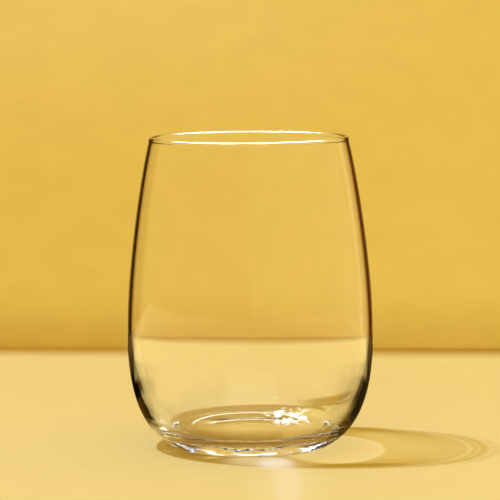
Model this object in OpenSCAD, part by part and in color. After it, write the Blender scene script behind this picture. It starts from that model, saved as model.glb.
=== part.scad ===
// Stemless wine glass: one continuous wall of clear glass, with a thick base and a rounded rim.
// The origin is at the centre of the foot, on the table, and +Z points out of the mouth.

/* [Bowl] */
// Height from the table to the top of the rim
glass_h = 117; // [90:1:150]
// Outside diameter at the widest point of the bowl
belly_d = 93; // [82:1:110]
// Height of the widest point above the table
belly_h = 44; // [36:1:54]
// Outside diameter of the wall just under the rim bead
mouth_d = 75.5; // [62:0.5:79]
// Diameter at which the curve of the heel, drawn on, would meet the table
foot_d = 57; // [50:0.5:64]

/* [Wall] */
// Wall thickness at the mouth, just under the bead
mouth_wall = 1.35; // [1:0.05:1.8]
// Wall thickness at the widest point of the bowl
belly_wall = 1.64; // [1.3:0.02:2.6]
// Thickness of the glass at the turn from the wall to the inside floor
heel_wall = 4.05; // [3:0.05:5.5]
// Height of the inside floor above the table, on the centre line
floor_h = 5.75; // [4.5:0.05:7]

/* [Rim] */
// Height of the fire-polished bead round the rim
bead_h = 1.8; // [1.4:0.1:3]
// Thickness of the bead from its inner to its outer side
bead_w = 1.7; // [1.3:0.05:2.2]

/* [Foot] */
// Width of the flat ring that the glass stands on
ring_w = 1.7; // [1:0.1:4]
// Radius between the standing ring and the heel
heel_round = 3; // [1:0.25:5]
// Depth of the hollow under the base, on the centre line
punt_depth = 1.2; // [0.8:0.05:2.2]

/* [Hidden] */

// Steps along each curve of the profile
wall_steps = 28;
bead_steps = 5;
cap_steps = 12;
round_steps = 5;
punt_steps = 16;

// How far each curve keeps its end direction, as a share of the distance that it covers
heel_out_share = 0.65;
heel_rise_share = 0.133;
belly_down_share = 0.6;
belly_up_share = 0.34;
mouth_out_share = 0.32;
mouth_down_share = 0.155;
wall_down_share = 0.56;
edge_out_share = 0.17;
edge_in_share = 0.108;
floor_out_share = 1.09;
bead_turn_share = 0.5;
punt_edge_share = 0.562;
punt_crown_share = 0.561;

// How far up the heel's curve the inside turns from wall to floor, as a share of the curve's steps
floor_edge_share = 0.231;
// How much flatter the inside is at that turn than the outside next to it
floor_edge_turn = 9.5;

belly_r = belly_d / 2;
mouth_r = mouth_d / 2;
foot_r = foot_d / 2;
inner_r = belly_r - belly_wall;
mouth_inner_r = mouth_r - mouth_wall;
bead_foot_h = glass_h - bead_h;
bead_r = bead_w / 2;

// Directions in which the heel leaves the foot and the wall meets the rim
heel_out = heel_out_share * (belly_r - foot_r);
heel_rise = heel_rise_share * belly_h;
heel_angle = atan2(heel_rise, heel_out);
mouth_out = mouth_out_share * (belly_r - mouth_r);
mouth_down = mouth_down_share * (bead_foot_h - belly_h);
mouth_lean = mouth_out / mouth_down;

// The rounding between the ring and the heel touches both at this distance from their corner
heel_tangent = heel_round * tan(heel_angle / 2);
ring_outer_r = foot_r - heel_tangent;
ring_inner_r = ring_outer_r - ring_w;
bead_mid_r = mouth_r - mouth_wall / 2 - mouth_lean * (bead_h - bead_r);

// Point at t on a cubic curve from a to d, which leaves a towards b and reaches d from c
function curve_point(a, b, c, d, t) =
    let (s = 1 - t)
        s * s * s * a + 3 * s * s * t * b + 3 * s * t * t * c + t * t * t * d;

// Direction of the same curve at t
function curve_angle(a, b, c, d, t) =
    let (s = 1 - t, along = s * s * (b - a) + 2 * s * t * (c - b) + t * t * (d - c))
        atan2(along[1], along[0]);

// Points after the first of such a curve
function curve(a, b, c, d, steps) = [for (i = [1:steps]) curve_point(a, b, c, d, i / steps)];

// Points after the first of an arc about a centre, between two angles
function arc(centre, radius, from, to, steps) = [
    for (i = [1:steps])
        let (angle = from + (to - from) * i / steps)
            centre + radius * [cos(angle), sin(angle)]
];

// The hollow under the base, from the centre line out to the standing ring
punt_points = concat([[0, punt_depth]],
    curve([0, punt_depth], [punt_crown_share * ring_inner_r, punt_depth],
        [(1 - punt_edge_share) * ring_inner_r, 0], [ring_inner_r, 0], punt_steps));

// The standing ring and the rounding at its outer edge
ring_points = concat([[ring_outer_r, 0]],
    arc([ring_outer_r, heel_round], heel_round, -90, heel_angle - 90, round_steps));

// The outside, up the heel to the widest point and on to the bead
heel_start = [foot_r + heel_tangent * cos(heel_angle), heel_tangent * sin(heel_angle)];
heel_aim = [foot_r + heel_out, heel_rise];
belly_lead = [belly_r, (1 - belly_down_share) * belly_h];
belly_point = [belly_r, belly_h];
outside_points = concat(
    curve(heel_start, heel_aim, belly_lead, belly_point, wall_steps),
    curve(belly_point, [belly_r, belly_h + belly_up_share * (bead_foot_h - belly_h)],
        [mouth_r + mouth_out, bead_foot_h - mouth_down], [mouth_r, bead_foot_h], wall_steps));

// The rim bead: out from the wall, over the top and back to the inner wall
bead_mid_h = glass_h - bead_r;
bead_turn = bead_turn_share * (bead_mid_h - bead_foot_h);
bead_points = concat(
    curve([mouth_r, bead_foot_h], [mouth_r - mouth_lean * bead_turn, bead_foot_h + bead_turn],
        [bead_mid_r + bead_r, bead_mid_h - bead_turn], [bead_mid_r + bead_r, bead_mid_h], bead_steps),
    arc([bead_mid_r, bead_mid_h], bead_r, 0, 180, cap_steps),
    curve([bead_mid_r - bead_r, bead_mid_h], [bead_mid_r - bead_r, bead_mid_h - bead_turn],
        [mouth_inner_r - mouth_lean * bead_turn, bead_foot_h + bead_turn],
        [mouth_inner_r, bead_foot_h], bead_steps));

// The turn from the wall to the inside floor, square in from the heel by the glass's thickness there
heel_slope = curve_angle(heel_start, heel_aim, belly_lead, belly_point, floor_edge_share);
floor_edge = curve_point(heel_start, heel_aim, belly_lead, belly_point, floor_edge_share)
    + heel_wall * [-sin(heel_slope), cos(heel_slope)];
floor_slope = heel_slope - floor_edge_turn;
floor_edge_run = [cos(floor_slope), sin(floor_slope)];
floor_edge_reach = edge_out_share * norm([inner_r, belly_h] - floor_edge);

// The inside, down to the widest point, round to the turn and in to the middle of the floor
inside_points = concat(
    curve([mouth_inner_r, bead_foot_h], [mouth_inner_r + mouth_out, bead_foot_h - mouth_down],
        [inner_r, belly_h + belly_up_share * (bead_foot_h - belly_h)], [inner_r, belly_h], wall_steps),
    curve([inner_r, belly_h], [inner_r, belly_h - wall_down_share * (belly_h - floor_edge[1])],
        floor_edge + floor_edge_reach * floor_edge_run, floor_edge, wall_steps),
    curve(floor_edge, floor_edge - edge_in_share * floor_edge[0] * floor_edge_run,
        [floor_out_share * floor_edge[0], floor_h], [0, floor_h], wall_steps));

module glass_body() {
    color([0.93, 0.95, 0.92, 0.35])
        rotate_extrude($fn = 180)
            polygon(concat(punt_points, ring_points, outside_points, bead_points, inside_points));
}

glass_body();
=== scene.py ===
"""Clear stemless wine glass on a plain warm table, with its finish, stage, light and camera."""

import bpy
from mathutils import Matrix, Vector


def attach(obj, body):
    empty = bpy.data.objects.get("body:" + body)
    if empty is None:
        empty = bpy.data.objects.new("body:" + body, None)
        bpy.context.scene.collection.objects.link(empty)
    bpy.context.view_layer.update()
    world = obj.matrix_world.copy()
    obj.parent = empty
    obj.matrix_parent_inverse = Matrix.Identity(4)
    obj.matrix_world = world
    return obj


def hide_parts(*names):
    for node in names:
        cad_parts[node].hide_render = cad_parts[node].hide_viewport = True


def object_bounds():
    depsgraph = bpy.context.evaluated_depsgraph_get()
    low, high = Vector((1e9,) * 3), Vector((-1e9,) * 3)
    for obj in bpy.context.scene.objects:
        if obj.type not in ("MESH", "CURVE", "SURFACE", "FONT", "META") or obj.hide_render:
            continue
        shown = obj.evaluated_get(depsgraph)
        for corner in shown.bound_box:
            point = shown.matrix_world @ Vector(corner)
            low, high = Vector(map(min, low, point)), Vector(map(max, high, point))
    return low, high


bl_info = {
    "name": "Stemless Wine Glass",
    "version": (1, 0, 0),
    "blender": (4, 5, 0),
    "location": "3D View > Sidebar > Wine Glass",
    "description": "Makes a clear stemless wine glass and the plain stage that it stands on",
    "category": "Add Mesh",
}

import math

import bpy
from bpy.props import FloatProperty, FloatVectorProperty, IntProperty, PointerProperty
from mathutils import Euler, Vector

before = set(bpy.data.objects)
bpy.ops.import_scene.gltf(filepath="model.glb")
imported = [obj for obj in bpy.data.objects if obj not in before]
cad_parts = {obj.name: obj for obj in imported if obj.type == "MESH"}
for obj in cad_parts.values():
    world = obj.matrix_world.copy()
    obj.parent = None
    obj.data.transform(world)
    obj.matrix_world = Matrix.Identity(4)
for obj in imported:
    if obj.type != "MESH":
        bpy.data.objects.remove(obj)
CAD_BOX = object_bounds()
CAD_SIZE = CAD_BOX[1] - CAD_BOX[0]
GLASS_NODE = "glass_body"

# Lengths are in metres, with +X to the right of the camera and +Y away from it. A pair of numbers is a span
# over which something comes in or goes: HEIGHT is above the table, REACH is from the glass's axis, DEPTH is
# from front to back and SIDE is from left to right. RISE and FALL are the two ends of a stretch
MM = 0.001

# Sizes by which the outline is made, each a property of the glass
OUTLINE_SIZES = (
    "glass_height", "belly_diameter", "belly_height", "mouth_diameter", "foot_diameter", "mouth_wall",
    "belly_wall", "floor_height", "floor_edge_diameter", "floor_edge_height", "floor_edge_angle",
    "bead_height", "bead_thickness", "ring_width", "heel_rounding", "punt_depth",
)
# How far each curve of the outline keeps its end direction, as a share of the distance that it covers
HEEL_OUT_SHARE = 0.65
HEEL_RISE_SHARE = 0.133
BELLY_DOWN_SHARE = 0.6
BELLY_UP_SHARE = 0.34
MOUTH_OUT_SHARE = 0.32
MOUTH_DOWN_SHARE = 0.155
BEAD_TURN_SHARE = 0.5
PUNT_EDGE_SHARE = 0.562
PUNT_CROWN_SHARE = 0.561
WALL_DOWN_SHARE = 0.56
EDGE_OUT_SHARE = 0.17
EDGE_IN_SHARE = 0.108
FLOOR_OUT_SHARE = 1.09
# Handle of a cubic curve that follows a quarter of a circle, as a share of the radius
QUARTER_SHARE = 0.5523
# Steps along each curve: the hollow, the flat ring, the roundings, the wall below the widest point, and the
# wall above it outside and inside. The inside floor has as many as the last
PUNT_STEPS = 28
RING_STEPS = 4
ROUND_STEPS = 8
LOW_STEPS = 52
HIGH_STEPS = 28
INNER_STEPS = 32
# Unevenness of the inside: its noise round the glass and up it, how many times the widest point's height it
# reaches up to, and how fast it grows off the axis, per metre
SWELL_SCALE = 2.6
SWELL_CLIMB = 14
SWELL_TOP = 1.6
SWELL_GROWTH = 60
# Points nearer to each other than this are one
SAME_POINT = 0.000002

# Painted shade: brown where rays enter the upright wall edge-on, standing in for the glass's dark edges, a
# little sooner low down where the glass is thick
EDGE_SHADE_TINT = (0.50, 0.32, 0.14, 1)
EDGE_ON = (0.71, 0.80)
EDGE_LEAN = (0.5, 0.8)
THICK_HEIGHT = (0.018, 0.034)
THICK_SOONER = 0.05
# Painted shade: a darker band along the front of the heel
BAND_SHADE_TINT = (0.62, 0.50, 0.30, 1)
BAND_HEIGHT_RISE = (0.0035, 0.0048)
BAND_HEIGHT_FALL = (0.0075, 0.0092)
BAND_DEPTH = (-0.020, -0.008)
# Painted shade: the darkest wedge on the heel's right side, which narrows from its foot upwards by the lean
WEDGE_SHADE_TINT = (0.16, 0.11, 0.05, 1)
WEDGE_FOOT = 0.007
WEDGE_LEAN = 8.0
WEDGE_SIDE = (0.74, 0.80)
WEDGE_HEIGHT_RISE = (0.0040, 0.0058)
WEDGE_HEIGHT_FALL = (0.020, 0.028)
WEDGE_EDGE_ON = (0.40, 0.55)
# Fine ripple of the base, and long level waves of the low wall
RIPPLE_SCALE = 230.0
RIPPLE_RELIEF = 0.00006
RIPPLE_HEIGHT = (0.008, 0.014)
WAVE_STRETCH = (0.12, 0.12, 1.0)
WAVE_SCALE = 170.0
WAVE_RELIEF = 0.000040
WAVE_HEIGHT_RISE = (0.011, 0.016)
WAVE_HEIGHT_FALL = (0.040, 0.052)
# Wear of the foot, in the ripple's higher places
WORN_ROUGHNESS = 0.03
WORN_RIPPLE = (0.45, 0.75)
WORN_HEIGHT = (0.004, 0.010)
# Painted highlights, as emission on the glass: a line round the hollow, glints on the inside floor, streaks
# on the heel
GLINT_COLOUR = (0.82, 0.95, 1.10)
LINE_RADIUS = 0.0230
LINE_WIDTH = (0.0002, 0.0006)
LINE_HEIGHT = (0.0015, 0.003)
LINE_DEPTH = (-0.002, 0.014)
LINE_LIGHT = 1.8
GLINT_CENTRE = (0.0145, 0.009)
GLINT_HALF_SIZE = (0.013, 0.021)
GLINT_FADE = (0.1, 1.0)
GLINT_STRETCH = (1.0, 0.55, 1.0)
GLINT_SCALE = 330.0
GLINT_NOISE = (0.62, 0.72)
GLINT_FILL = 0.17
GLINT_BOTTOM = 0.0045
GLINT_REACH = (0.0325, 0.0335)
STREAK_STRETCH = (0.25, 0.6, 2.2)
STREAK_SCALE = 260.0
STREAK_NOISE = (0.50, 0.60)
STREAK_LIGHT = 0.9
STREAK_DEPTH = (-0.016, -0.008)
STREAK_HEIGHT_RISE = (0.0004, 0.0009)
STREAK_HEIGHT_FALL = (0.0022, 0.0034)
STREAK_REACH = (0.0230, 0.0250)
# Share of the lamp's light that passes into the shadow, through the wall, the heel and the flat base
SHADOW_TINT = (1.0, 0.92, 0.72, 1)
SHADOW_POWER = 3.5
WALL_PASSES = 0.95
HEEL_PASSES = 0.60
FLAT_PASSES = 1.0
FLAT_REACH = (0.0200, 0.0230)
HEEL_HEIGHT = (0.006, 0.016)

# Table top: its corners, how its far edge turns away on the left, and its tones, with painted shade further
# away and along its far edge
TABLE_TURN = math.tan(math.radians(4.85))
TABLE_HALF_WIDTH = 1.4
TABLE_NEAR = -1.6
TABLE_DROP = 0.00002
TABLE_ROUGHNESS = 0.9
TABLE_FAR_SHADE = (0.868, 0.620, 0.202, 1)
TABLE_FAR_SHADE_DEPTH = (-0.05, 0.2)
TABLE_RIGHT = (1.045, 1.06, 1.05, 1)
TABLE_RIGHT_SIDE = (0.0, 0.12)
TABLE_EDGE_SHADE = (0.50, 0.25, 0.020, 1)
TABLE_EDGE_SHADE_DEPTH = (0.232, 0.272)
# Unevenness of painted card: stretch, scale and amount, and the span of the noise that it covers
TABLE_MOTTLE = ((1.0, 1.6, 1.0), 75.0, 0.011)
WALL_MOTTLE = ((1.0, 1.0, 1.6), 55.0, 0.020)
MOTTLE_NOISE = (0.3, 0.7)

# Painted light on the table, in patches where the glass would gather light, and a painted dark line along the
# front of its
# shadow: centre, half size, how far from the centre the full strength goes, as a squared share of the size,
# strength and colour
PAINTED_PATCHES = (
    ((0.082, -0.008), (0.050, 0.052), 0.0, 0.30, (0.896, 0.651, 0.216, 1)),
    ((0.0390, -0.0455), (0.0230, 0.0045), 0.0, 0.80, (0.42, 0.24, 0.02, 1)),
    ((0.0020, -0.036), (0.0170, 0.017), 0.0, 0.65, (0.90, 0.70, 0.36, 1)),
    ((0.0085, -0.042), (0.0090, 0.016), 0.0, 0.80, (0.98, 0.84, 0.66, 1)),
    ((0.0120, -0.085), (0.0200, 0.080), 0.0, 0.30, (0.97, 0.76, 0.36, 1)),
    ((0.0125, -0.078), (0.0074, 0.070), 0.0, 0.44, (0.98, 0.80, 0.48, 1)),
    ((0.0300, -0.0120), (0.0220, 0.0340), 0.60, 0.72, (0.930, 0.690, 0.250, 1)),
    ((0.0, 0.0), (0.024, 0.024), 0.0, 0.70, (0.90, 0.64, 0.21, 1)),
)
# The same for rays that have passed the glass, for which the painted shadow's edge runs higher than beside
# it: a painted dark band and painted light below it
PAINTED_SEEN_THROUGH = (
    ((0.0375, 0.0480), (0.0215, 0.0125), 0.0, 0.95, (0.49, 0.275, 0.032, 1)),
    ((0.0350, 0.0215), (0.0240, 0.0175), 0.3, 0.90, (0.900, 0.650, 0.200, 1)),
)
PATCH_POWER = 1.6
# Painted thin arcs of light at the shadow's end: the ellipse's centre and half size, the line's half width as
# a share of that, strength, and where the line begins on the left
ARCS = (
    ((0.040, -0.010), (0.0423, 0.0430), 0.040, 0.45, 0.045),
    ((0.040, -0.010), (0.0455, 0.0455), 0.025, 0.30, 0.055),
    ((0.040, -0.010), (0.0500, 0.0480), 0.035, 0.40, 0.045),
    ((0.030, -0.012), (0.0190, 0.0295), 0.120, 0.60, 0.020),
)
ARC_COLOUR = (0.960, 0.735, 0.285, 1)
ARC_START = 0.015

# Painted dark reflections: dark ground, painted on the table for mirrored rays only. SHEEN is for rays off
# the outside of the glass, TURNED for rays that the wall turned round inside itself. On the right it begins
# nearer, by these lengths
SHEEN_DEPTH = (-0.012, 0.004)
SHEEN_DEPTH_NEARER = 0.022
SHEEN_REACH = (0.040, 0.055)
SHEEN_REACH_NEARER = 0.020
TURNED_DEPTH = (-0.04, 0.02)
TURNED_DEPTH_NEARER = 0.020
TURNED_REACH = (0.064, 0.076)
TURNED_REACH_NEARER = 0.015
# Where it ends: all round, and sooner in directions whose Y is lower than BEHIND
DARK_END_REACH = (0.45, 0.60)
SIDE_END_REACH = (0.125, 0.150)
BEHIND = (0.60, 0.72)
# Its colours: near and further out on the left, on the right for the two kinds of ray, and far away
LEFT_NEAR = (0.17, 0.075, 0.008, 1)
LEFT_OUT = (0.012, 0.008, 0.003, 1)
LEFT_OUT_REACH = (0.088, 0.098)
RIGHT_SHEEN = (0.075, 0.045, 0.013, 1)
RIGHT_TURNED = (0.17, 0.10, 0.022, 1)
FAR_GROUND = (0.17, 0.090, 0.020, 1)
FAR_GROUND_REACH = (0.15, 0.20)

# Backdrop: its lowest and highest edge, and its tones, with painted shade low down where it meets the table
WALL_BOTTOM = -0.3
WALL_HEAD = 0.3
WALL_TOP = (0.828, 0.545, 0.113, 1)
WALL_TOP_HEIGHT = (0.072, 0.179)
WALL_RIGHT = (0.818, 0.508, 0.080, 1)
WALL_RIGHT_SIDE = (-0.04, 0.12)
WALL_RIGHT_SHARE = 0.8
WALL_LOW_SHADE = (0.58, 0.30, 0.030, 1)
WALL_LOW_SHADE_HEIGHT = (-0.0096, 0.0315)
WALL_LOW_SIDE = (-0.174, 0.134)
WALL_LOW_RIGHT_SHARE = 0.7
WALL_FOOT_SHADE = (0.49, 0.245, 0.022, 1)
WALL_FOOT_SHADE_HEIGHT = (-0.0048, 0.0028)

# Room round the stage that mirrored rays meet. Its spans are of a direction's X, Y or Z, from -1 to 1
BELT_LEFT = (0.68, 0.42, 0.055, 1)
BELT_RIGHT = (0.84, 0.60, 0.15, 1)
LIT_WALL_DEPTH = (0.6, 0.9)
GAP_LEFT = (0.015, 0.008, 0.003, 1)
GAP_RIGHT = (0.085, 0.024, 0.005, 1)
GAP_OUTER = (0.40, 0.125, 0.010, 1)
GAP_OUTER_SIDE = (0.46, 0.56)
GAP_RISE = (0.20, 0.30)
GAP_FALL = (0.60, 0.65)
STRIP_COLOUR = (1.7, 1.3, 0.50, 1)
STRIP_RISE = (0.72, 0.76)
STRIP_FALL = (0.80, 0.85)
CEILING_COLOUR = (1.0, 0.86, 0.55, 1)
CEILING_HEIGHT = (0.45, 0.6)
BESIDE_LEFT = (0.50, 0.26, 0.035, 1)
BESIDE_RIGHT = (0.12, 0.085, 0.03, 1)
BESIDE_SIDE = (0.30, 0.50)
PANEL_COLOUR = (1.0, 0.97, 0.93, 1)
PANEL_STRENGTH = 36.0
PANEL_RISE = (0.60, 0.74)
PANEL_FALL = (0.88, 0.93)
GLOW_STRENGTH = 6.0
GLOW_NEARNESS = (0.972, 0.990)
FILL_COLOUR = (0.61, 0.48, 0.17, 1)

# Lamp: one disk. Its light comes in two shares, each with its name, its watts and whether the glass
# focuses it
LAMP_ELEVATION = math.radians(65.9)
LAMP_AZIMUTH = math.radians(167.4)
LAMP_DISTANCE = 3.0
LAMP_SIZE = 0.17
LAMP_COLOUR = (0.48, 0.64, 1.0)
LAMPS = (("key", 58.0, False), ("key_focused", 20.0, True))

# Camera: the image's width in pixels and the sensor's in millimetres
IMAGE_PIXELS = 500
SENSOR_WIDTH = 36.0

# Limits for whole counts, such as a ray's bounces
AT_LEAST_ONE = 0.5
AT_MOST_TWO = 2.5
# A Mix node's sockets for colours, and that for the share of the second
MIX_SHARE, MIX_FIRST, MIX_SECOND, MIX_RESULT = 0, 6, 7, 2


class Value:
    """A node's output socket. Arithmetic on it adds Math nodes to its tree."""

    def __init__(self, graph, socket):
        self.graph = graph
        self.socket = socket

    def maths(self, operation, *values):
        """A Math node on sockets and numbers."""
        sockets = dict(enumerate(values))
        return self.graph.node("ShaderNodeMath", {"operation": operation}, sockets)

    def __add__(self, other):
        return self.maths("ADD", self, other)

    def __radd__(self, other):
        return self.maths("ADD", other, self)

    def __sub__(self, other):
        return self.maths("SUBTRACT", self, other)

    def __rsub__(self, other):
        return self.maths("SUBTRACT", other, self)

    def __mul__(self, other):
        return self.maths("MULTIPLY", self, other)

    def __rmul__(self, other):
        return self.maths("MULTIPLY", other, self)

    def __truediv__(self, other):
        return self.maths("DIVIDE", self, other)

    def __rtruediv__(self, other):
        return self.maths("DIVIDE", other, self)

    def __mod__(self, other):
        return self.maths("MODULO", self, other)

    def __pow__(self, other):
        return self.maths("POWER", self, other)

    def __gt__(self, other):
        return self.maths("GREATER_THAN", self, other)

    def __lt__(self, other):
        return self.maths("LESS_THAN", self, other)

    def call(self, operation, *values):
        """A Math operation that has no sign of its own, such as a sine."""
        return self.maths(operation, self, *values)


class Graph:
    """A node tree that is written as Python."""

    def __init__(self, tree):
        self.tree = tree

    def node(self, kind, settings=None, sockets=None, output=0):
        """Adds a node, sets it up, fills its inputs, and returns one output, or the node if it has none."""
        made = self.tree.nodes.new(kind)
        for name, value in (settings or {}).items():
            setattr(made, name, value)
        for name, value in (sockets or {}).items():
            for item in value if isinstance(value, list) else [value]:
                if isinstance(item, Value):
                    self.tree.links.new(item.socket, made.inputs[name])
                else:
                    made.inputs[name].default_value = item
        return Value(self, made.outputs[output]) if len(made.outputs) else made

    def link(self, value, node, name):
        """Links a value to an input of a node that is there already."""
        self.tree.links.new(value.socket, node.inputs[name])

    def ramp(self, value, low, high, start=0.0, end=1.0):
        """A smooth step from start to end while value goes from low to high."""
        return self.node(
            "ShaderNodeMapRange",
            {"interpolation_type": "SMOOTHSTEP"},
            {"Value": value, "From Min": low, "From Max": high, "To Min": start, "To Max": end},
        )

    def fade(self, value, low, high):
        """A smooth step from 1 to 0 while value goes from low to high."""
        return self.ramp(value, low, high, 1.0, 0.0)

    def between(self, value, rise, fall):
        """1 between two spans, with a smooth step up over the first and down over the second."""
        return self.ramp(value, *rise) * self.fade(value, *fall)

    def ellipse(self, x, y, centre, half_size):
        """The squared distance from an ellipse's centre, as a share of its size, so that its line is at 1."""
        across = (x - centre[0]) / half_size[0]
        along = (y - centre[1]) / half_size[1]
        return across * across + along * along

    def noise(self, place, scale, detail, stretch=(1.0, 1.0, 1.0)):
        """Soft noise from 0 to 1, in which a small stretch draws the shapes out along an axis."""
        place = self.node("ShaderNodeVectorMath", {"operation": "MULTIPLY"}, {0: place, 1: stretch})
        return self.node("ShaderNodeTexNoise", {}, {"Vector": place, "Scale": scale, "Detail": detail}, "Fac")

    def scaled(self, colour, amount):
        """A colour made lighter or darker by an amount."""
        return self.node("ShaderNodeVectorMath", {"operation": "SCALE"}, {0: colour, "Scale": amount})

    def colour_mix(self, share, first, second, blend="MIX"):
        """A colour between two colours, or between the first and its blend with the second."""
        settings = {"data_type": "RGBA", "blend_type": blend}
        sockets = {MIX_SHARE: share, MIX_FIRST: first, MIX_SECOND: second}
        return self.node("ShaderNodeMix", settings, sockets, MIX_RESULT)

    def shader_mix(self, share, first, second):
        """A shader between two shaders."""
        return self.node("ShaderNodeMixShader", {}, {0: share, 1: first, 2: second})

    def emission(self, colour):
        """A surface that shows a colour as it is written."""
        return self.node("ShaderNodeEmission", {}, {"Color": colour, "Strength": 1.0})

    def background(self, colour, strength=1.0):
        """The world in one colour."""
        return self.node("ShaderNodeBackground", {}, {"Color": colour, "Strength": strength})

    def mottled(self, tone, stretch, scale, amount):
        """A colour made a little uneven, as painted card is."""
        noise = self.noise(self.object_place(), scale, detail=4.0, stretch=stretch)
        return self.scaled(tone, self.ramp(noise, *MOTTLE_NOISE, 1.0 - amount, 1.0 + amount))

    def object_place(self):
        """The place on the piece, from its own origin."""
        return self.node("ShaderNodeTexCoord", {}, {}, "Object")

    def from_behind(self):
        """Whether the ray meets the surface from behind, as from inside the glass."""
        return self.node("ShaderNodeNewGeometry", {}, {}, "Backfacing")

    def light_path(self, name):
        """Whether the ray has had at least one bounce of a kind, or is of a kind."""
        return self.node("ShaderNodeLightPath", {}, {}, name) > AT_LEAST_ONE

    def unmirrored(self):
        """Whether nothing has mirrored the ray yet."""
        return 1 - self.light_path("Glossy Depth")

    def first_mirrored(self):
        """Whether the ray was mirrored and never went into the glass."""
        return self.light_path("Glossy Depth") * (1 - self.light_path("Transmission Depth"))

    def turned_rays(self):
        """Whether the ray went into a wall of glass, was mirrored inside it and came out of the same side."""
        passes = self.node("ShaderNodeLightPath", {}, {}, "Transmission Depth")
        return self.light_path("Glossy Depth") * (passes > AT_LEAST_ONE) * (passes < AT_MOST_TWO)

    def axes(self, vector):
        """The X, Y and Z of a vector."""
        split = self.node("ShaderNodeSeparateXYZ", {}, {"Vector": vector}).socket.node
        return [Value(self, split.outputs[name]) for name in "XYZ"]

    def vector(self, x, y, z):
        """A vector from its X, Y and Z."""
        return self.node("ShaderNodeCombineXYZ", {}, {"X": x, "Y": y, "Z": z})

    def point(self, r, z):
        """A point of the outline, at radius r and height z."""
        return self.vector(r, 0.0, z)


def distance_from_axis(x, y):
    """How far a place is from the glass's axis."""
    return (x * x + y * y).call("SQRT")


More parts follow.
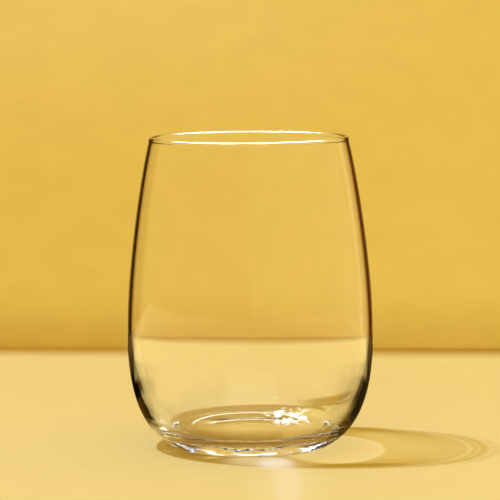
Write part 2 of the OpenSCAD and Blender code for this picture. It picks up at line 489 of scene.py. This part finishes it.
def outline_strips(graph, size):
    """The outline of the glass's cross-section, from under the base round to the inside floor, as points."""

    def curve(start, aim, lead, end, steps, inside=0.0):
        """Points along a curve that leaves start towards aim and reaches end from lead."""
        bezier = graph.node(
            "GeometryNodeCurvePrimitiveBezierSegment",
            {"mode": "POSITION"},
            {
                "Resolution": steps,
                "Start": graph.point(*start),
                "Start Handle": graph.point(*aim),
                "End Handle": graph.point(*lead),
                "End": graph.point(*end),
            },
        )
        points = graph.node("GeometryNodeCurveToPoints", {"mode": "EVALUATED"}, {"Curve": bezier}, "Points")
        return graph.node(
            "GeometryNodeStoreNamedAttribute",
            {"data_type": "FLOAT", "domain": "POINT"},
            {"Geometry": points, "Name": "inside", "Value": inside},
        )

    rim_h = size["Glass height"]
    belly_r = size["Belly diameter"] / 2
    belly_h = size["Belly height"]
    mouth_r = size["Mouth diameter"] / 2
    foot_r = size["Foot diameter"] / 2
    inner_r = belly_r - size["Belly wall"]
    mouth_inner_r = mouth_r - size["Mouth wall"]
    bead_foot_h = rim_h - size["Bead height"]
    bead_r = size["Bead thickness"] / 2
    floor_h = size["Floor height"]
    edge_r = size["Floor edge diameter"] / 2
    edge_h = size["Floor edge height"]
    edge_run = size["Floor edge angle"].call("COSINE")
    edge_lift = size["Floor edge angle"].call("SINE")
    edge_reach = EDGE_OUT_SHARE * graph.node(
        "ShaderNodeVectorMath",
        {"operation": "DISTANCE"},
        {0: graph.point(inner_r, belly_h), 1: graph.point(edge_r, edge_h)},
        "Value",
    )
    punt_h = size["Punt depth"]

    heel_out = HEEL_OUT_SHARE * (belly_r - foot_r)
    heel_rise = HEEL_RISE_SHARE * belly_h
    heel_angle = heel_rise.call("ARCTAN2", heel_out)
    heel_tangent = size["Heel rounding"] * (heel_angle / 2).call("TANGENT")
    heel_run = heel_tangent * heel_angle.call("COSINE")
    heel_lift = heel_tangent * heel_angle.call("SINE")
    ring_outer_r = foot_r - heel_tangent
    ring_inner_r = ring_outer_r - size["Ring width"]

    mouth_out = MOUTH_OUT_SHARE * (belly_r - mouth_r)
    mouth_down = MOUTH_DOWN_SHARE * (bead_foot_h - belly_h)
    mouth_lean = mouth_out / mouth_down
    belly_up = belly_h + BELLY_UP_SHARE * (bead_foot_h - belly_h)

    bead_mid_r = mouth_r - size["Mouth wall"] / 2 - mouth_lean * (size["Bead height"] - bead_r)
    bead_mid_h = rim_h - bead_r
    bead_turn = BEAD_TURN_SHARE * (bead_mid_h - bead_foot_h)
    bead_bend = QUARTER_SHARE * bead_r
    bead_out_r = bead_mid_r + bead_r
    bead_in_r = bead_mid_r - bead_r

    return [
        # The hollow under the base, from the centre line out to the standing ring
        curve(
            (0.0, punt_h),
            (PUNT_CROWN_SHARE * ring_inner_r, punt_h),
            ((1 - PUNT_EDGE_SHARE) * ring_inner_r, 0.0),
            (ring_inner_r, 0.0),
            PUNT_STEPS,
        ),
        # The flat ring, and the rounding between it and the heel
        curve((ring_inner_r, 0.0), (ring_inner_r, 0.0), (ring_outer_r, 0.0), (ring_outer_r, 0.0), RING_STEPS),
        curve(
            (ring_outer_r, 0.0),
            (ring_outer_r + QUARTER_SHARE * heel_tangent, 0.0),
            (foot_r + (1 - QUARTER_SHARE) * heel_run, (1 - QUARTER_SHARE) * heel_lift),
            (foot_r + heel_run, heel_lift),
            ROUND_STEPS,
        ),
        # The outside, up the heel to the widest point and on to the bead
        curve(
            (foot_r + heel_run, heel_lift),
            (foot_r + heel_out, heel_rise),
            (belly_r, (1 - BELLY_DOWN_SHARE) * belly_h),
            (belly_r, belly_h),
            LOW_STEPS,
        ),
        curve(
            (belly_r, belly_h),
            (belly_r, belly_up),
            (mouth_r + mouth_out, bead_foot_h - mouth_down),
            (mouth_r, bead_foot_h),
            HIGH_STEPS,
        ),
        # The rim bead, out from the wall, over the top and back to the inner wall
        curve(
            (mouth_r, bead_foot_h),
            (mouth_r - mouth_lean * bead_turn, bead_foot_h + bead_turn),
            (bead_out_r, bead_mid_h - bead_turn),
            (bead_out_r, bead_mid_h),
            ROUND_STEPS,
        ),
        curve(
            (bead_out_r, bead_mid_h),
            (bead_out_r, bead_mid_h + bead_bend),
            (bead_mid_r + bead_bend, rim_h),
            (bead_mid_r, rim_h),
            ROUND_STEPS,
        ),
        curve(
            (bead_mid_r, rim_h),
            (bead_mid_r - bead_bend, rim_h),
            (bead_in_r, bead_mid_h + bead_bend),
            (bead_in_r, bead_mid_h),
            ROUND_STEPS,
        ),
        curve(
            (bead_in_r, bead_mid_h),
            (bead_in_r, bead_mid_h - bead_turn),
            (mouth_inner_r - mouth_lean * bead_turn, bead_foot_h + bead_turn),
            (mouth_inner_r, bead_foot_h),
            ROUND_STEPS,
        ),
        # The inside, down to the widest point, round to the edge of the floor and in to its middle
        curve(
            (mouth_inner_r, bead_foot_h),
            (mouth_inner_r + mouth_out, bead_foot_h - mouth_down),
            (inner_r, belly_up),
            (inner_r, belly_h),
            INNER_STEPS,
            inside=1.0,
        ),
        curve(
            (inner_r, belly_h),
            (inner_r, belly_h - WALL_DOWN_SHARE * (belly_h - edge_h)),
            (edge_r + edge_run * edge_reach, edge_h + edge_lift * edge_reach),
            (edge_r, edge_h),
            LOW_STEPS,
            inside=1.0,
        ),
        curve(
            (edge_r, edge_h),
            (edge_r - EDGE_IN_SHARE * edge_run * edge_r, edge_h - EDGE_IN_SHARE * edge_lift * edge_r),
            (FLOOR_OUT_SHARE * edge_r, floor_h),
            (0.0, floor_h),
            INNER_STEPS,
            inside=1.0,
        ),
    ]


def inner_swell(graph, size, run, lift, radius, height, inside):
    """How far the inside stands out of true, most of all low down, where the glass is thick."""
    wave = graph.noise(graph.vector(run, lift, height * SWELL_CLIMB), SWELL_SCALE, detail=2.0)
    low_down = (size["Belly height"] * SWELL_TOP - height) / size["Belly height"]
    low_down = graph.node("ShaderNodeClamp", {}, {"Value": low_down})
    off_axis = graph.node("ShaderNodeClamp", {}, {"Value": radius * SWELL_GROWTH})
    return (wave - 0.5) * size["Wave height"] * inside * low_down * off_axis


def turned_glass_tree(sizes):
    """A Geometry Nodes tree that turns the outline round the glass's axis."""
    tree = bpy.data.node_groups.new("turned_glass", "GeometryNodeTree")
    tree.interface.new_socket("Geometry", in_out="OUTPUT", socket_type="NodeSocketGeometry")
    kinds = dict.fromkeys([*sizes, "Wave height"], "Float")
    kinds.update({"Segments": "Int", "Material": "Material"})
    for name, kind in kinds.items():
        tree.interface.new_socket(name, in_out="INPUT", socket_type="NodeSocket" + kind)
    graph = Graph(tree)
    inputs = graph.node("NodeGroupInput").socket.node
    size = {socket.name: Value(graph, socket) for socket in inputs.outputs if socket.name}

    strips = outline_strips(graph, size)
    # Join Geometry keeps the last link first, so the strips are linked from last to first
    points = graph.node("GeometryNodeJoinGeometry", {}, {"Geometry": strips[::-1]})
    count = graph.node(
        "GeometryNodeAttributeDomainSize", {"component": "POINTCLOUD"}, {"Geometry": points}, "Point Count"
    )
    # A grid whose rows are the outline's points and whose columns go round the glass
    columns = size["Segments"] + 1
    grid = graph.node("GeometryNodeMeshGrid", {}, {"Vertices X": count, "Vertices Y": columns}, "Mesh")
    index = graph.node("GeometryNodeInputIndex")
    row = (index / columns).call("FLOOR")
    turn = index % columns / size["Segments"] * math.tau
    run = turn.call("COSINE")
    lift = turn.call("SINE")

    def sampled(kind, value):
        """What a point of the outline holds, for each of the grid's points in its row."""
        settings = {"data_type": kind, "domain": "POINT"}
        sockets = {"Geometry": points, "Value": value, "Index": row}
        return graph.node("GeometryNodeSampleIndex", settings, sockets)

    place = sampled("FLOAT_VECTOR", graph.node("GeometryNodeInputPosition"))
    marked = graph.node("GeometryNodeInputNamedAttribute", {"data_type": "FLOAT"}, {"Name": "inside"})
    inside = sampled("FLOAT", marked)
    radius, _, height = graph.axes(place)
    radius = radius + inner_swell(graph, size, run, lift, radius, height, inside)
    place = graph.vector(radius * run, radius * lift, height)
    turned = graph.node("GeometryNodeSetPosition", {}, {"Geometry": grid, "Position": place})
    closed = graph.node("GeometryNodeMergeByDistance", {}, {"Geometry": turned, "Distance": SAME_POINT})
    smooth = graph.node("GeometryNodeSetShadeSmooth", {}, {"Geometry": closed, "Shade Smooth": True})
    real = graph.node("GeometryNodeRealizeInstances", {}, {"Geometry": smooth})
    dressed = graph.node("GeometryNodeSetMaterial", {}, {"Geometry": real, "Material": size["Material"]})
    graph.node("NodeGroupOutput", {}, {0: dressed})
    return tree


def wall_tint_and_shade(graph, colour, x, y, height, edge_on):
    """The tint where rays enter: clear, with brown edges of painted shade, and a band and a wedge of painted
    shade in the heel.
    """
    normal_x, normal_y, normal_z = graph.axes(graph.node("ShaderNodeNewGeometry", {}, {}, "Normal"))
    entering = (normal_x * x + normal_y * y > 0) * (1 - graph.from_behind())
    upright = entering * graph.fade(normal_z.call("ABSOLUTE"), *EDGE_LEAN)
    sooner = graph.ramp(height, *THICK_HEIGHT, THICK_SOONER, 0.0)
    tint = graph.colour_mix(graph.ramp(edge_on + sooner, *EDGE_ON) * upright, colour, EDGE_SHADE_TINT)
    # Painted shade: a darker band along the front of the heel
    band = graph.between(height, BAND_HEIGHT_RISE, BAND_HEIGHT_FALL) * graph.fade(y, *BAND_DEPTH)
    tint = graph.colour_mix(band, tint, BAND_SHADE_TINT)
    # Painted shade: a dark wedge on the heel's right side
    narrowed = x / distance_from_axis(x, y) - (height - WEDGE_FOOT) * WEDGE_LEAN
    wedge = graph.ramp(narrowed, *WEDGE_SIDE) * graph.between(height, WEDGE_HEIGHT_RISE, WEDGE_HEIGHT_FALL)
    wedge = wedge * graph.ramp(edge_on, *WEDGE_EDGE_ON) * entering
    return graph.colour_mix(wedge, tint, WEDGE_SHADE_TINT)


def painted_highlights(graph, place, x, y, height, reach):
    """How bright the painted highlights on the glass are, where its own curves would gather light."""
    # A painted highlight line round the hollow under the base, at the back
    line = graph.fade((reach - LINE_RADIUS).call("ABSOLUTE"), *LINE_WIDTH)
    line = line * graph.fade(height, *LINE_HEIGHT) * graph.ramp(y, *LINE_DEPTH, 0.0, LINE_LIGHT)
    # Broken painted glints, where the back of the inside floor turns up towards the wall
    near = graph.fade(graph.ellipse(x, y, GLINT_CENTRE, GLINT_HALF_SIZE), *GLINT_FADE)
    broken = graph.noise(place, GLINT_SCALE, detail=3.0, stretch=GLINT_STRETCH) + near * GLINT_FILL
    glints = graph.ramp(broken, *GLINT_NOISE) * near
    glints = glints * (height > GLINT_BOTTOM) * graph.fade(reach, *GLINT_REACH)
    # Painted highlight streaks along the front of the rounding under the heel
    uneven = graph.noise(place, STREAK_SCALE, detail=2.0, stretch=STREAK_STRETCH)
    streaks = graph.ramp(uneven, *STREAK_NOISE) * graph.ramp(y, *STREAK_DEPTH, STREAK_LIGHT, 0.0)
    streaks = streaks * graph.between(height, STREAK_HEIGHT_RISE, STREAK_HEIGHT_FALL)
    streaks = streaks * graph.ramp(reach, *STREAK_REACH)
    return line + (glints + streaks) * graph.unmirrored()


def clear_glass(props):
    """Polished clear soda-lime glass."""
    material = bpy.data.materials.new("clear_glass")
    material.use_nodes = True
    graph = Graph(material.node_tree)
    shader = material.node_tree.nodes["Principled BSDF"]
    colour = (*props.glass_colour, 1)
    shader.inputs["Base Color"].default_value = colour
    shader.inputs["Roughness"].default_value = 0.0
    shader.inputs["IOR"].default_value = props.glass_ior
    shader.inputs["Transmission Weight"].default_value = 1.0
    shader.inputs["Emission Strength"].default_value = 1.0
    place = graph.object_place()
    x, y, height = graph.axes(place)
    reach = distance_from_axis(x, y)
    edge_on = graph.node("ShaderNodeLayerWeight", {}, {}, "Facing")
    graph.link(wall_tint_and_shade(graph, colour, x, y, height, edge_on), shader, "Base Color")

    # The base is rippled all over, and the low wall has long level waves
    ripple = graph.noise(place, RIPPLE_SCALE, detail=2.0)
    wave = graph.noise(place, WAVE_SCALE, detail=1.0, stretch=WAVE_STRETCH)
    relief = ripple * graph.ramp(height, *RIPPLE_HEIGHT, RIPPLE_RELIEF, 0.0)
    relief = relief + wave * graph.between(height, WAVE_HEIGHT_RISE, WAVE_HEIGHT_FALL) * WAVE_RELIEF
    bump = graph.node("ShaderNodeBump", {}, {"Height": relief, "Distance": 1.0, "Strength": 1.0})
    graph.link(bump, shader, "Normal")
    worn = graph.ramp(ripple, *WORN_RIPPLE, 0.0, WORN_ROUGHNESS) * graph.fade(height, *WORN_HEIGHT)
    graph.link(worn, shader, "Roughness")
    # The painted highlights glow as emission
    light = graph.scaled(GLINT_COLOUR, painted_highlights(graph, place, x, y, height, reach))
    graph.link(light, shader, "Emission Color")

    # Most of the lamp's light passes the thin wall, and less where it grazes the glass or in the thick heel
    base_passes = graph.ramp(reach, *FLAT_REACH, FLAT_PASSES, HEEL_PASSES)
    low_passes = graph.ramp(height, *HEEL_HEIGHT, base_passes, 1.0)
    passes = (1 - edge_on ** SHADOW_POWER) * WALL_PASSES * low_passes * graph.light_path("Is Shadow Ray")
    clear = graph.node("ShaderNodeBsdfTransparent", {}, {"Color": SHADOW_TINT})
    mix = graph.shader_mix(passes, Value(graph, shader.outputs["BSDF"]), clear)
    graph.link(mix, material.node_tree.nodes["Material Output"], "Surface")
    return material


def modifier_result(host, tree, values):
    """The mesh that a Geometry Nodes tree makes on an object, with its inputs set by their identifiers."""
    modifier = host.modifiers.new(tree.name, "NODES")
    modifier.node_group = tree
    for item in tree.interface.items_tree:
        if item.in_out == "INPUT" and item.name in values:
            modifier[item.identifier] = values[item.name]
    depsgraph = bpy.context.evaluated_depsgraph_get()
    mesh = bpy.data.meshes.new_from_object(host.evaluated_get(depsgraph), depsgraph=depsgraph)
    host.modifiers.remove(modifier)
    return mesh


def turn_outwards(mesh):
    """Points the faces of a closed mesh outwards, by the sign of its volume."""
    six_volumes = 0.0
    mesh.calc_loop_triangles()
    for triangle in mesh.loop_triangles:
        a, b, c = (mesh.vertices[v].co for v in triangle.vertices)
        six_volumes += a.cross(b).dot(c)
    if six_volumes < 0:
        mesh.flip_normals()


def length_prop(name, description, default):
    """A length that a user can change."""
    return FloatProperty(
        name=name, description=description, default=default, unit="LENGTH", subtype="DISTANCE"
    )


def angle_prop(name, description, degrees):
    """An angle that a user can change."""
    return FloatProperty(
        name=name, description=description, default=math.radians(degrees), unit="ROTATION", subtype="ANGLE"
    )


def colour_prop(name, description, default):
    """A colour that a user can change."""
    return FloatVectorProperty(name=name, description=description, default=default, subtype="COLOR", size=3)


class WineGlassProps(bpy.types.PropertyGroup):
    """Sizes and colours of the glass and its stage."""

    glass_height: length_prop("Glass height", "Table to the top of the rim", CAD_SIZE.z)
    belly_diameter: length_prop("Belly diameter", "Outside width at the widest point", CAD_SIZE.x)
    belly_height: length_prop("Belly height", "Height of the widest point", 44 * MM)
    mouth_diameter: length_prop("Mouth diameter", "Outside width under the rim bead", 75.5 * MM)
    foot_diameter: length_prop("Foot diameter", "Width where the heel's curve meets the table", 57 * MM)
    mouth_wall: length_prop("Mouth wall", "Wall thickness at the mouth", 1.35 * MM)
    belly_wall: length_prop("Belly wall", "Wall thickness at the widest point", 1.64 * MM)
    floor_height: length_prop("Floor height", "Height of the inside floor", 5.75 * MM)
    floor_edge_diameter: length_prop("Floor edge diameter", "Width of the inside floor", 66.27 * MM)
    floor_edge_height: length_prop("Floor edge height", "Height of the inside floor's edge", 8.1 * MM)
    floor_edge_angle: angle_prop("Floor edge angle", "Slope of the inside at the floor's edge", 35.7)
    bead_height: length_prop("Bead height", "Height of the bead round the rim", 1.8 * MM)
    bead_thickness: length_prop("Bead thickness", "Thickness of the bead", 1.7 * MM)
    ring_width: length_prop("Ring width", "Width of the flat standing ring", 1.7 * MM)
    heel_rounding: length_prop("Heel rounding", "Radius between the ring and the heel", 3 * MM)
    punt_depth: length_prop("Punt depth", "Depth of the hollow under the base", 1.2 * MM)
    wave_height: length_prop("Wave height", "Unevenness of the inside", 0.04 * MM)
    segments: IntProperty(name="Segments", description="Faces round the glass", default=320)
    glass_ior: FloatProperty(name="Refractive index", description="Soda-lime glass", default=1.52)
    glass_colour: colour_prop("Glass colour", "Tint of the glass", (1.0, 1.0, 1.0))
    floor_colour: colour_prop("Floor colour", "Pale warm table top", (0.905, 0.666, 0.233))
    wall_colour: colour_prop("Wall colour", "Backdrop beyond the table", (0.783, 0.482, 0.073))
    table_reach: length_prop("Table reach", "Glass axis to the table's far edge", 274 * MM)
    camera_distance: length_prop("Camera distance", "Level distance to the glass axis", 1.050)
    camera_height: length_prop("Camera height", "Height above the table", 0.1792)
    camera_pitch: angle_prop("Camera pitch", "Angle that the camera looks down", 5.713)
    camera_turn: angle_prop("Camera turn", "Angle that the camera looks aside", -0.008)
    camera_roll: angle_prop("Camera roll", "Angle that the camera leans", -0.46)
    camera_focus_pixels: FloatProperty(name="Focal length", description="In image pixels", default=2798.5)


class GLASS_OT_body(bpy.types.Operator):
    """Turn the glass from its outline and give it its finish"""

    bl_idname = "wine_glass.body"
    bl_label = "Glass body"

    def execute(self, context):
        props = context.scene.wine_glass
        sizes = {name.replace("_", " ").capitalize(): getattr(props, name) for name in OUTLINE_SIZES}
        material = clear_glass(props)
        tree = turned_glass_tree(sizes)
        host = bpy.data.objects.new("outline_host", bpy.data.meshes.new("outline_host"))
        context.scene.collection.objects.link(host)
        values = {**sizes, "Segments": props.segments, "Wave height": props.wave_height, "Material": material}
        mesh = modifier_result(host, tree, values)
        bpy.data.objects.remove(host)
        turn_outwards(mesh)
        glass = bpy.data.objects.new("glass_bowl", mesh)
        context.scene.collection.objects.link(glass)
        glass.cycles.is_caustics_caster = True
        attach(glass, "root")
        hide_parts(GLASS_NODE)
        return {"FINISHED"}


def table_tone_and_shading(graph, colour, x, y):
    """The plain table: paler near the camera by painted shade further away, a little lighter on the right,
    and with painted shade at its far edge.
    """
    away = y + x * TABLE_TURN
    tone = graph.colour_mix(graph.ramp(away, *TABLE_FAR_SHADE_DEPTH), colour, TABLE_FAR_SHADE)
    tone = graph.colour_mix(graph.ramp(x, *TABLE_RIGHT_SIDE), tone, TABLE_RIGHT, "MULTIPLY")
    tone = graph.colour_mix(graph.ramp(away, *TABLE_EDGE_SHADE_DEPTH) * graph.unmirrored(), tone, TABLE_EDGE_SHADE)
    return graph.mottled(tone, *TABLE_MOTTLE)


def painted_light_and_shade(graph, table, x, y):
    """The table with painted light where the glass would gather it, and painted shade along its shadow's
    edges, painted over it patch by patch.
    """
    straight = graph.unmirrored()
    through = straight * graph.light_path("Transmission Depth")
    for patches, rays in ((PAINTED_PATCHES, straight), (PAINTED_SEEN_THROUGH, through)):
        for centre, half_size, plateau, strength, colour in patches:
            spread = graph.fade(graph.ellipse(x, y, centre, half_size), plateau, 1.0) ** PATCH_POWER
            table = graph.shader_mix(spread * strength * rays, table, graph.emission(colour))
    # Painted arcs of light in the shadow
    for centre, half_size, half_width, strength, left in ARCS:
        off_line = (graph.ellipse(x, y, centre, half_size).call("SQRT") - 1).call("ABSOLUTE")
        arc = graph.ramp(off_line, 0.0, half_width, strength, 0.0) * graph.ramp(x, left, left + ARC_START)
        table = graph.shader_mix(arc * straight, table, graph.emission(ARC_COLOUR))
    return table


def painted_dark_reflection(graph, x, y):
    """How far a mirrored ray meets painted dark ground instead of the table, as a painted dark reflection,
    and its colour.
    """
    reach = distance_from_axis(x, y)
    right = x > 0
    turned_rays = graph.turned_rays()
    sheen = graph.first_mirrored() * graph.ramp(y + right * SHEEN_DEPTH_NEARER, *SHEEN_DEPTH)
    sheen = sheen * graph.ramp(reach + right * SHEEN_REACH_NEARER, *SHEEN_REACH)
    turned = turned_rays * graph.ramp(y + right * TURNED_DEPTH_NEARER, *TURNED_DEPTH)
    turned = turned * graph.ramp(reach + right * TURNED_REACH_NEARER, *TURNED_REACH)
    side_end = graph.fade(y / reach, *BEHIND) * graph.ramp(reach, *SIDE_END_REACH)
    share = (sheen + turned) * graph.fade(reach, *DARK_END_REACH) * (1 - side_end)
    left_shade = graph.colour_mix(graph.ramp(reach, *LEFT_OUT_REACH), LEFT_NEAR, LEFT_OUT)
    right_shade = graph.colour_mix(turned_rays, RIGHT_SHEEN, RIGHT_TURNED)
    shade = graph.colour_mix(right, left_shade, right_shade)
    return share, graph.colour_mix(graph.ramp(reach, *FAR_GROUND_REACH), shade, FAR_GROUND)


def table_material(floor_colour):
    """The pale warm table top, with painted light, painted shade and painted dark reflections."""
    material = bpy.data.materials.new("table_top")
    material.use_nodes = True
    graph = Graph(material.node_tree)
    shader = material.node_tree.nodes["Principled BSDF"]
    shader.inputs["Roughness"].default_value = TABLE_ROUGHNESS
    shader.inputs["Specular IOR Level"].default_value = 0.0
    x, y, _ = graph.axes(graph.object_place())
    graph.link(table_tone_and_shading(graph, (*floor_colour, 1), x, y), shader, "Base Color")
    table = painted_light_and_shade(graph, Value(graph, shader.outputs["BSDF"]), x, y)
    share, shade = painted_dark_reflection(graph, x, y)
    mix = graph.shader_mix(share, table, graph.emission(shade))
    graph.link(mix, material.node_tree.nodes["Material Output"], "Surface")
    material.cycles.emission_sampling = "NONE"
    return material


def backdrop_material(wall_colour):
    """The plain wall for rays from the camera, straight or through the glass. Other rays pass it."""
    material = bpy.data.materials.new("backdrop")
    material.use_nodes = True
    material.node_tree.nodes.clear()
    graph = Graph(material.node_tree)
    x, _, z = graph.axes(graph.object_place())
    # The wall is lighter high up and has painted shade where it meets the table, most of all on the left
    tone = graph.colour_mix(graph.ramp(z, *WALL_TOP_HEIGHT), (*wall_colour, 1), WALL_TOP)
    tone = graph.colour_mix(graph.ramp(x, *WALL_RIGHT_SIDE) * WALL_RIGHT_SHARE, tone, WALL_RIGHT)
    left = graph.ramp(x, *WALL_LOW_SIDE, 1.0, WALL_LOW_RIGHT_SHARE)
    tone = graph.colour_mix(graph.fade(z, *WALL_LOW_SHADE_HEIGHT) * left, tone, WALL_LOW_SHADE)
    tone = graph.colour_mix(graph.fade(z, *WALL_FOOT_SHADE_HEIGHT), tone, WALL_FOOT_SHADE)
    seen = graph.emission(graph.mottled(tone, *WALL_MOTTLE))
    other = graph.light_path("Glossy Depth") + graph.light_path("Diffuse Depth")
    other = other + graph.light_path("Is Shadow Ray") + graph.from_behind()
    mix = graph.shader_mix(other > AT_LEAST_ONE, seen, graph.node("ShaderNodeBsdfTransparent"))
    graph.node("ShaderNodeOutputMaterial", {}, {"Surface": mix})
    material.cycles.emission_sampling = "NONE"
    return material


def lamp_direction():
    """The unit vector from the glass to the lamp."""
    level = math.cos(LAMP_ELEVATION)
    return Vector(
        (level * math.cos(LAMP_AZIMUTH), level * math.sin(LAMP_AZIMUTH), math.sin(LAMP_ELEVATION))
    )


def make_world(props):
    """The wall's colour for straight rays, a soft fill for the table, and a room for mirrored rays."""
    world = bpy.data.worlds.new("studio")
    bpy.context.scene.world = world
    world.use_nodes = True
    world.node_tree.nodes.clear()
    graph = Graph(world.node_tree)
    direction = graph.node("ShaderNodeTexCoord", {}, {}, "Generated")
    x, y, z = graph.axes(direction)
    aside = x.call("ABSOLUTE")
    right = x > 0
    beyond = y > 0
    off_outside = graph.first_mirrored()
    overhead = graph.ramp(z, *CEILING_HEIGHT)
    to_lamp = graph.node(
        "ShaderNodeVectorMath", {"operation": "DOT_PRODUCT"}, {0: direction, 1: lamp_direction()}, "Value"
    )
    gap_colour = graph.colour_mix(right, GAP_LEFT, GAP_RIGHT)
    gap_colour = graph.colour_mix(graph.ramp(aside, *GAP_OUTER_SIDE), gap_colour, GAP_OUTER)

    # The lit wall is narrow, with a dark gap on each side of it, and the rest of the room is a plain belt
    wall = graph.background((*props.wall_colour, 1))
    belt = graph.background(graph.colour_mix(right, BELT_LEFT, BELT_RIGHT))
    room = graph.shader_mix(graph.ramp(y, *LIT_WALL_DEPTH), belt, wall)
    for share, colour, strength in (
        # The gaps, and a bright strip on the right for the outside of the glass
        (graph.between(aside, GAP_RISE, GAP_FALL) * beyond, gap_colour, 1.0),
        (graph.between(x, STRIP_RISE, STRIP_FALL) * off_outside * beyond, STRIP_COLOUR, 1.0),
        # The ceiling, and what is high up at the sides for the inside of the glass
        (overhead, CEILING_COLOUR, 1.0),
        (
            graph.ramp(aside, *BESIDE_SIDE) * (1 - off_outside) * overhead,
            graph.colour_mix(right, BESIDE_LEFT, BESIDE_RIGHT),
            1.0,
        ),
        # The lamp's glow for rays that the wall turned round, and a panel high up for the outside
        (graph.ramp(to_lamp, *GLOW_NEARNESS) * graph.turned_rays(), PANEL_COLOUR, GLOW_STRENGTH),
        (graph.between(z, PANEL_RISE, PANEL_FALL) * off_outside, PANEL_COLOUR, PANEL_STRENGTH),
    ):
        room = graph.shader_mix(share, room, graph.background(colour, strength))
    mix = graph.shader_mix(graph.light_path("Glossy Depth"), wall, room)
    mix = graph.shader_mix(graph.light_path("Diffuse Depth"), mix, graph.background(FILL_COLOUR))
    graph.node("ShaderNodeOutputWorld", {}, {"Surface": mix})


def flat_sheet(scene, name, corners, material):
    """A flat sheet with four corners, for the stage."""
    mesh = bpy.data.meshes.new(name)
    mesh.from_pydata(corners, [], [(0, 1, 2, 3)])
    mesh.materials.append(material)
    sheet = bpy.data.objects.new(name, mesh)
    scene.collection.objects.link(sheet)
    return sheet


def hang_lamps(scene):
    """The soft lamp, high on the left. Its reflections are left to the room's glow and panel."""
    for name, watts, focuses in LAMPS:
        disk = bpy.data.lights.new(name, "AREA")
        disk.shape = "DISK"
        disk.size = LAMP_SIZE
        disk.energy = watts
        disk.color = LAMP_COLOUR
        disk.cycles.is_caustics_light = focuses
        lamp = bpy.data.objects.new(name, disk)
        lamp.location = LAMP_DISTANCE * lamp_direction()
        lamp.visible_glossy = False
        lamp.visible_transmission = False
        lamp.rotation_euler = (-lamp.location).to_track_quat("-Z", "Y").to_euler()
        scene.collection.objects.link(lamp)


def place_camera(scene, props):
    """The camera, in front of the glass and higher than its rim."""
    data = bpy.data.cameras.new("camera")
    data.sensor_width = SENSOR_WIDTH
    data.lens = props.camera_focus_pixels * SENSOR_WIDTH / IMAGE_PIXELS
    data.clip_end = 20
    camera = bpy.data.objects.new("camera", data)
    camera.location = (0, -props.camera_distance, props.camera_height)
    tilt = Euler((math.pi / 2 - props.camera_pitch, 0, 0)).to_matrix()
    turn = Euler((0, 0, props.camera_turn)).to_matrix()
    roll = Euler((0, 0, props.camera_roll)).to_matrix()
    camera.rotation_euler = (turn @ tilt @ roll).to_euler()
    scene.collection.objects.link(camera)
    scene.camera = camera


class GLASS_OT_stage(bpy.types.Operator):
    """Lay the table, light it and place the camera"""

    bl_idname = "wine_glass.stage"
    bl_label = "Stage"

    def execute(self, context):
        props = context.scene.wine_glass
        scene = context.scene
        half_turn = TABLE_HALF_WIDTH * TABLE_TURN
        far_right = (TABLE_HALF_WIDTH, props.table_reach - half_turn)
        far_left = (-TABLE_HALF_WIDTH, props.table_reach + half_turn)
        corners = [
            (-TABLE_HALF_WIDTH, TABLE_NEAR, 0),
            (TABLE_HALF_WIDTH, TABLE_NEAR, 0),
            (*far_right, 0),
            (*far_left, 0),
        ]
        table = flat_sheet(scene, "table_top", corners, table_material(props.floor_colour))
        table.location.z = -TABLE_DROP
        table.cycles.is_caustics_receiver = True

        # The wall stands along the table's far edge
        corners = [
            (*far_left, WALL_BOTTOM),
            (*far_right, WALL_BOTTOM),
            (*far_right, WALL_HEAD),
            (*far_left, WALL_HEAD),
        ]
        wall = flat_sheet(scene, "backdrop", corners, backdrop_material(props.wall_colour))

        make_world(props)
        hang_lamps(scene)
        place_camera(scene, props)
        scene.view_settings.view_transform = "Standard"
        scene.cycles.max_bounces = 24
        scene.cycles.glossy_bounces = 16
        scene.cycles.transmission_bounces = 24
        scene.cycles.transparent_max_bounces = 16
        return {"FINISHED"}


class GLASS_PT_panel(bpy.types.Panel):
    """Lists the pieces in the sidebar"""

    bl_label = "Wine Glass"
    bl_idname = "GLASS_PT_panel"
    bl_space_type = "VIEW_3D"
    bl_region_type = "UI"
    bl_category = "Wine Glass"

    def draw(self, context):
        column = self.layout.column()
        for name in WineGlassProps.__annotations__:
            column.prop(context.scene.wine_glass, name)
        for operator in OPERATORS:
            column.operator(operator.bl_idname)


OPERATORS = (GLASS_OT_body, GLASS_OT_stage)
CLASSES = (WineGlassProps, *OPERATORS, GLASS_PT_panel)


def register():
    for cls in CLASSES:
        bpy.utils.register_class(cls)
    bpy.types.Scene.wine_glass = PointerProperty(type=WineGlassProps)


def unregister():
    del bpy.types.Scene.wine_glass
    for cls in reversed(CLASSES):
        bpy.utils.unregister_class(cls)


def main():
    register()
    bpy.ops.wine_glass.body()
    bpy.ops.wine_glass.stage()


if __name__ == "__main__":
    main()
